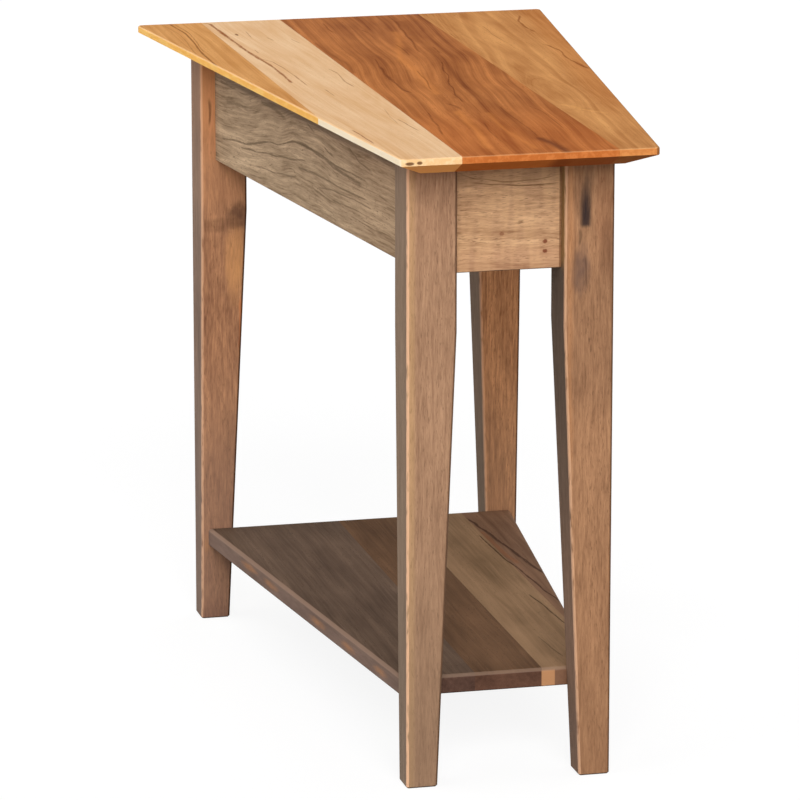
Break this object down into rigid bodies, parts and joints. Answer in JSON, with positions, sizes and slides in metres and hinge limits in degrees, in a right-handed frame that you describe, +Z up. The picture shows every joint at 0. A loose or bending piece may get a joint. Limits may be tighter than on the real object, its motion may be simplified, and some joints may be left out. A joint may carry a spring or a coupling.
{
  "type": "end table",
  "caption": "Wedge-shaped wooden end table with a bevelled top, square tapered legs, aprons and a lower shelf.",
  "frame": {"origin": "on the floor, under the centre of the top's outline", "axes": "+Z up; -Y is the narrow front end, +Y the wide back end; +X to the right seen from the front"},
  "size_m": [0.4246, 0.75, 0.6096],
  "materials": {
    "top_hickory": "satin",
    "frame_hickory": "satin",
    "shelf_hickory": "satin",
    "bare_hardwood": "bare",
    "screw_steel": "zinc plated"
  },
  "bodies": {
    "root": {"top_board_1": "top_hickory", "top_board_2": "top_hickory", "top_board_3": "top_hickory", "top_board_4": "top_hickory", "shelf_board_1": "shelf_hickory", "shelf_board_2": "shelf_hickory", "shelf_board_3": "shelf_hickory", "shelf_board_4": "shelf_hickory", "leg_front_left": "frame_hickory", "leg_front_right": "frame_hickory", "leg_back_left": "frame_hickory", "leg_back_right": "frame_hickory", "apron_front": "frame_hickory", "apron_back": "frame_hickory", "apron_left": "frame_hickory", "apron_right": "frame_hickory", "button_front": "bare_hardwood", "button_back": "bare_hardwood", "button_left_front": "bare_hardwood", "button_left_back": "bare_hardwood", "button_right_front": "bare_hardwood", "button_right_back": "bare_hardwood", "shelf_dowels": "bare_hardwood", "button_screws": "screw_steel"}
  },
  "joints": []
}
